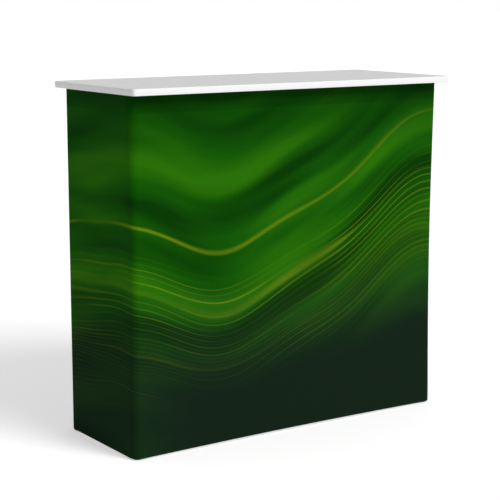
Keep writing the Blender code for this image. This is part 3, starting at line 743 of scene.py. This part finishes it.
def add_stitches(plan, cover):
    """Rows of thread along both hems and down both rear edges, as copies of one stitch."""
    pitch = cover.stitch_pitch
    edge_inset = 0.006
    sunk = 0.0001  # a hem's stitches lie in the dip of its seam
    spots = []
    for height in (plan.low + cover.hem_seam, plan.high - cover.hem_seam):
        for number in range(int(plan.length / pitch) - 1):
            spots.append((plan.station(pitch * (number + 1)), height, True))
    tall = plan.high - plan.low - 2 * cover.hem_width
    for distance in (edge_inset, plan.length - edge_inset):
        station = plan.station(distance)
        for number in range(int(tall / pitch)):
            height = plan.low + cover.hem_width + pitch * (number + 0.5)
            spots.append((station, height, False))

    bm = bmesh.new()
    half_width, half_height = 0.0003, 0.00028
    size = Matrix.Diagonal((cover.stitch_length / 2, half_width, half_height, 1.0))
    bmesh.ops.create_uvsphere(bm, u_segments=6, v_segments=4, radius=1.0, matrix=size)
    row = link_mesh(bm, "cover_stitches", smooth_below=180.0)
    copies = [row]
    for _ in spots[1:]:
        copies.append(bpy.data.objects.new("stitch", row.data))
        bpy.context.scene.collection.objects.link(copies[-1])
    for stitch, (station, height, level) in zip(copies, spots):
        outward = Vector((*station[2], 0)).normalized()
        tangent = UP.cross(outward) if level else UP
        turn = Matrix((tangent, outward.cross(tangent), outward)).transposed().to_4x4()
        place = plan.point(station, height, sunk if level else 0.0)
        stitch.matrix_world = Matrix.Translation(place) @ turn
    chosen = {"active_object": row, "object": row, "selected_editable_objects": copies}
    with bpy.context.temp_override(**chosen):
        bpy.ops.object.join()
    row.data.transform(row.matrix_world)
    row.matrix_world = Matrix.Identity(4)
    return row


# Operators


class COUNTER_OT_worktop(bpy.types.Operator):
    """Finish the worktop: its board, its edge band and its pegs"""

    bl_idname = "counter.worktop"
    bl_label = "Worktop"

    def execute(self, context):
        board = context.scene.counter_board
        colours = context.scene.counter_colours
        low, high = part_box("worktop_edge_band")
        bm = bmesh.new()
        band_round(bm, low, high, board.corner_radius, board.band_rounding, board.band_thickness)
        band = finish_mesh(bm, "worktop_band", smooth_below=50.0)
        dress(band, "worktop", "white_edging", edging(colours), "worktop_edge_band")
        repaint("worktop_panel", melamine(colours))
        black = nylon(colours)
        for corner in CORNERS:
            node = "locating_peg_" + corner
            peg = smooth_copy(node, "worktop_peg_" + corner, edge_radius=0.0003)
            dress(peg, "worktop", "black_nylon", black, node)
        return {"FINISHED"}


class COUNTER_OT_cover(bpy.types.Operator):
    """Make the printed cover: one folded sheet with its stitches and its edge tapes"""

    bl_idname = "counter.cover"
    bl_label = "Printed Cover"

    def execute(self, context):
        cover = context.scene.counter_cover
        colours = context.scene.counter_colours
        plan = CoverPlan(cover)
        rows, cut_length = hem_rows(plan, cover)
        sheet = plan.sheet("printed_cover", plan.stations, rows, cover.thickness)
        sheet.data.materials.append(printed_knit(colours, cover))
        sheet.data.materials.append(knit_reverse(colours, cover))
        dress(sheet, "frame", "printed_cloth", None, "textile_cover")

        stitches = add_stitches(plan, cover)
        dress(stitches, "frame", "printed_cloth", thread(colours))

        loop = hook_tape(colours)
        clear = 0.001  # from a tape to the cloth's edge and to the hems
        inward = cover.thickness + GLUE_GAP
        bottom = plan.low + cover.hem_width + clear
        top = plan.high - cover.hem_width - clear
        steps, columns = 40, 16
        heights = [bottom + (top - bottom) * step / steps for step in range(steps + 1)]
        tape_rows = [(height, inward, height) for height in heights]
        width = cover.tape_width
        for side, start in (("left", clear), ("right", plan.length - width - clear)):
            stations = [plan.station(start + width * n / columns) for n in range(columns + 1)]
            name = "cover_edge_tape_" + side
            tape = plan.sheet(name, stations, tape_rows, cover.tape_thickness)
            dress(tape, "frame", "hook_tape", loop)

        return {"FINISHED"}


class COUNTER_OT_tubes(bpy.types.Operator):
    """Make the posts and the rails from drawn tube"""

    bl_idname = "counter.tubes"
    bl_label = "Posts and Rails"

    def execute(self, context):
        sizes = context.scene.counter_frame
        colours = context.scene.counter_colours
        upright = aluminium(colours, "z")
        inner = sizes.post_radius - sizes.tube_wall
        for corner in CORNERS:
            for half in ("lower", "upper"):
                node = f"post_{half}_{corner}"
                low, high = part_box(node)
                bm = bmesh.new()
                profile = tube_profile(sizes.post_radius, inner, low.z, high.z)
                spun(bm, profile, post_axis(corner))
                post = finish_mesh(bm, f"post_tube_{half}_{corner}")
                if half == "upper":
                    self.cut_button_hole(post, corner, sizes)
                dress(post, "frame", "anodised_aluminium", upright, node)
            repaint("post_joiner_" + corner, upright)
        for level in LEVELS:
            for side in SIDES:
                node = f"{level}_rail_{side}"
                low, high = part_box(node)
                along = 0 if side in ("front", "rear") else 1
                bm = bmesh.new()
                box_tube(bm, low, high, along, sizes.tube_wall, sizes.rail_edge_radius)
                rail = finish_mesh(bm, f"rail_tube_{level}_{side}")
                drawn = aluminium(colours, "xy"[along])
                dress(rail, "frame", "anodised_aluminium", drawn, node)
        return {"FINISHED"}

    def cut_button_hole(self, post, corner, sizes):
        """Cuts the hole that a catch's button comes through, on the post's inner side."""
        centre = post_axis(corner)
        centre.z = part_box("post_catch_" + corner)[1].z - sizes.button_drop
        axis = Vector((0, -1 if corner.startswith("rear") else 1, 0))
        radius, reach = sizes.button_hole_radius, 0.016  # past the post's wall
        bm = bmesh.new()
        spun(bm, [(0, 0), (radius, 0), (radius, reach), (0, reach)], centre, axis, steps=32)
        cutter = finish_mesh(bm, "button_cutter")
        hole = post.modifiers.new("button hole", "BOOLEAN")
        hole.operation = "DIFFERENCE"
        hole.object = cutter
        view = bpy.context.evaluated_depsgraph_get()
        mesh = bpy.data.meshes.new_from_object(post.evaluated_get(view))
        post.modifiers.clear()
        post.data = mesh
        bpy.data.objects.remove(cutter, do_unlink=True)


class COUNTER_OT_mouldings(bpy.types.Operator):
    """Finish the moulded corner connectors"""

    bl_idname = "counter.mouldings"
    bl_label = "Corner Connectors"

    def execute(self, context):
        black = nylon(context.scene.counter_colours)
        for level in LEVELS:
            for corner in CORNERS:
                node = f"{level}_connector_{corner}"
                moulding = smooth_copy(node, f"{level}_corner_{corner}", edge_radius=0.0005)
                dress(moulding, "frame", "black_nylon", black, node)
        return {"FINISHED"}


class COUNTER_OT_catches(bpy.types.Operator):
    """Finish the sprung catches of the posts"""

    bl_idname = "counter.catches"
    bl_label = "Post Catches"

    def execute(self, context):
        bright = steel(context.scene.counter_colours)
        for corner in CORNERS:
            node = "post_catch_" + corner
            name = "catch_button_" + corner
            catch = smooth_copy(node, name, edge_radius=0.0001, smooth_below=40.0)
            dress(catch, "catch_" + corner, "spring_steel", bright, node)
        return {"FINISHED"}


class COUNTER_OT_feet(bpy.types.Operator):
    """Make the levelling feet: rubber pad, nut and threaded stud"""

    bl_idname = "counter.feet"
    bl_label = "Levelling Feet"

    def execute(self, context):
        sizes = context.scene.counter_frame
        colours = context.scene.counter_colours
        black = rubber(colours)
        bright = steel(colours)
        radius, height = sizes.pad_radius, sizes.pad_height
        lower_rim, upper_rim = 0.001, 0.0012  # chamfers of a pad
        nut_rounding = 0.0004
        grip, rise = 0.0005, 0.0004  # depth of a groove round a pad, and a third of its height
        lowest, apart = 0.0015, 0.0013  # the lowest groove, and from each to the next
        pad_profile = [(0, 0), (radius - lower_rim, 0), (radius, lower_rim)]
        for groove in range(3):
            for part, depth in enumerate((0, grip, grip, 0)):
                pad_profile.append((radius - depth, lowest + groove * apart + part * rise))
        pad_profile += [(radius, height - upper_rim), (radius - upper_rim, height), (0, height)]
        for corner in CORNERS:
            node = "levelling_foot_" + corner
            body = "foot_" + corner
            axis = post_axis(corner)
            bm = bmesh.new()
            spun(bm, pad_profile, axis)
            dress(finish_mesh(bm, "foot_pad_" + corner), body, "black_rubber", black, node)

            bm = bmesh.new()
            half = sizes.nut_width / 2
            place = Matrix.Translation(axis + UP * (height + sizes.nut_height / 2))
            bmesh.ops.create_cone(
                bm, cap_ends=True, segments=6, radius1=half, radius2=half,
                depth=sizes.nut_height, matrix=place,
            )
            bevel(bm, bm.edges[:], nut_rounding, segments=2)
            dress(finish_mesh(bm, "foot_nut_" + corner), body, "spring_steel", bright)

            bm = bmesh.new()
            outer, pitch = sizes.thread_radius, sizes.thread_pitch
            root = outer - 0.6 * pitch
            start, end = height + sizes.nut_height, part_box(node)[1].z
            profile = [(0, start), (root, start)]
            crest = start + pitch / 2
            while crest < end - pitch:
                profile += [(outer, crest), (root, crest + pitch / 2)]
                crest += pitch
            profile += [(root, end), (0, end)]
            spun(bm, profile, axis, steps=32)
            stud = finish_mesh(bm, "foot_stud_" + corner, smooth_below=20.0)
            dress(stud, body, "spring_steel", bright)
        return {"FINISHED"}


class COUNTER_OT_shelf(bpy.types.Operator):
    """Make the shelf's board and edge band, and finish its brackets with their screws"""

    bl_idname = "counter.shelf"
    bl_label = "Shelf and Brackets"

    def execute(self, context):
        board = context.scene.counter_board
        sizes = context.scene.counter_frame
        colours = context.scene.counter_colours
        low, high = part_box("shelf_panel")
        corner_radius, thin = board.shelf_corner_radius, board.shelf_band_thickness
        bm = bmesh.new()
        band_round(bm, low, high, corner_radius, board.shelf_band_rounding, thin)
        band = finish_mesh(bm, "shelf_band", smooth_below=50.0)
        dress(band, "shelf", "white_edging", edging(colours), "shelf_panel")
        bm = bmesh.new()
        inset = Vector((thin + GLUE_GAP, thin + GLUE_GAP, 0))
        slab(bm, low + inset, high - inset, corner_radius - thin, 0)
        panel = finish_mesh(bm, "shelf_board", smooth_below=30.0)
        dress(panel, "shelf", "white_melamine", melamine(colours), "shelf_panel")

        black = nylon(colours)
        bright = steel(colours)
        # A pan head with a recess, from the recess's middle out to the rim.
        head = [(0, 0.0009), (0.0013, 0.0009), (0.0015, 0.0021), (0.0021, 0.0020)]
        head += [(0.0027, 0.0015), (0.0030, 0.0008), (0.0030, 0), (0, 0)]
        for corner in CORNERS:
            node = "shelf_bracket_" + corner
            bracket = smooth_copy(node, "bracket_" + corner, edge_radius=0.0005)
            dress(bracket, "frame", "black_nylon", black, node)
            inward = Vector((-1 if corner.endswith("right") else 1, 0, 0))
            middle = post_axis(corner) + inward * sizes.saddle_reach
            middle.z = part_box(node)[1].z - sizes.screw_drop
            bm = bmesh.new()
            for side in (-1, 1):
                place = middle + Vector((0, side * sizes.screw_spread, 0))
                spun(bm, head, place, inward, steps=24)
            dress(finish_mesh(bm, "bracket_screws_" + corner), "frame", "spring_steel", bright)
        return {"FINISHED"}


class COUNTER_OT_tapes(bpy.types.Operator):
    """Finish the hook tapes on the rails and the rear posts"""

    bl_idname = "counter.tapes"
    bl_label = "Hook Tapes"

    def execute(self, context):
        tape = hook_tape(context.scene.counter_colours)
        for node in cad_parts:
            if node.startswith("hook_tape_"):
                repaint(node, tape)
        return {"FINISHED"}


class COUNTER_OT_stage(bpy.types.Operator):
    """Set the camera, the pale floor and the soft light"""

    bl_idname = "counter.stage"
    bl_label = "Stage"

    def execute(self, context):
        stage = context.scene.counter_stage
        scene = context.scene
        scene.view_settings.view_transform = "Standard"

        view = bpy.data.cameras.new("camera")
        view.lens = stage.focal_length
        view.sensor_width = 36.0
        view.clip_end = 200.0
        camera = bpy.data.objects.new("camera", view)
        # The angle that the counter is seen from: place, how far down, and how far to the right.
        camera.location = (-2.3933, -3.4754, 1.2437)
        camera.rotation_euler = (math.radians(90 - 9.998), 0, math.radians(-34.262))
        scene.collection.objects.link(camera)
        scene.camera = camera

        light = bpy.data.lights.new("key_light", "SUN")
        light.energy = stage.sun_strength
        light.angle = stage.sun_spread
        key = bpy.data.objects.new("key_light", light)
        towards = Vector((0.283, -0.760, 0.588))
        key.rotation_euler = towards.to_track_quat("Z", "Y").to_euler()
        scene.collection.objects.link(key)

        self.make_floor(stage)
        self.make_world(scene, stage)
        return {"FINISHED"}

    def seen_directly(self, tree):
        """1 for what the camera, a gloss or a glass sees, and 0 for what lights the object."""
        seen = add_node(tree, "LightPath", {}, {}, "Is Camera Ray")
        rays = seen.node.outputs
        for kind in ("Is Glossy Ray", "Is Transmission Ray"):
            seen = add_node(tree, "Math", {"operation": "MAXIMUM"}, {0: seen, 1: rays[kind]})
        return seen

    def make_floor(self, stage):
        bm = bmesh.new()
        bmesh.ops.create_grid(bm, x_segments=1, y_segments=1, size=60.0)
        floor = link_mesh(bm, "studio_floor")
        material = bpy.data.materials.new("studio floor")
        material.use_nodes = True
        tree = material.node_tree
        tree.nodes.clear()
        matt = add_node(tree, "BsdfDiffuse", {}, {"Color": (*linear("#EDEDED"), 1.0)})
        seen = self.seen_directly(tree)
        strength = add_node(tree, "Math", MULTIPLY, {0: seen, 1: stage.floor_glow})
        glow = add_node(tree, "Emission", {}, {"Strength": strength})
        both = add_node(tree, "AddShader", {}, {0: matt, 1: glow})
        add_node(tree, "OutputMaterial", {}, {"Surface": both})
        floor.data.materials.append(material)

    def make_world(self, scene, stage):
        world = bpy.data.worlds.new("studio")
        world.use_nodes = True
        tree = world.node_tree
        tree.nodes.clear()
        inputs = {"Value": self.seen_directly(tree), "To Min": stage.ambient, "To Max": 1.0}
        strength = add_node(tree, "MapRange", {}, inputs)
        white = (1.0, 1.0, 1.0, 1.0)
        sky = add_node(tree, "Background", {}, {"Color": white, "Strength": strength})
        add_node(tree, "OutputWorld", {}, {"Surface": sky})
        scene.world = world


class COUNTER_PT_panel(bpy.types.Panel):
    """Lists the steps that build the counter"""

    bl_idname = "COUNTER_PT_panel"
    bl_label = "Exhibition Counter"
    bl_space_type = "VIEW_3D"
    bl_region_type = "UI"
    bl_category = "Counter"

    def draw(self, context):
        column = self.layout.column()
        for operator in OPERATORS:
            column.operator(operator.bl_idname)


GROUPS = {
    "counter_board": CounterBoardSettings,
    "counter_cover": CounterCoverSettings,
    "counter_frame": CounterFrameSettings,
    "counter_colours": CounterColourSettings,
    "counter_stage": CounterStageSettings,
}
OPERATORS = (
    COUNTER_OT_stage,
    COUNTER_OT_worktop,
    COUNTER_OT_cover,
    COUNTER_OT_tubes,
    COUNTER_OT_mouldings,
    COUNTER_OT_catches,
    COUNTER_OT_feet,
    COUNTER_OT_shelf,
    COUNTER_OT_tapes,
)
CLASSES = (*GROUPS.values(), *OPERATORS, COUNTER_PT_panel)


def register():
    for kind in CLASSES:
        bpy.utils.register_class(kind)
    for name, group in GROUPS.items():
        setattr(bpy.types.Scene, name, bpy.props.PointerProperty(type=group))


def unregister():
    for name in GROUPS:
        delattr(bpy.types.Scene, name)
    for kind in reversed(CLASSES):
        bpy.utils.unregister_class(kind)


def main():
    register()
    bpy.ops.counter.stage()
    bpy.ops.counter.worktop()
    bpy.ops.counter.cover()
    bpy.ops.counter.tubes()
    bpy.ops.counter.mouldings()
    bpy.ops.counter.catches()
    bpy.ops.counter.feet()
    bpy.ops.counter.shelf()
    bpy.ops.counter.tapes()


if __name__ == "__main__":
    main()
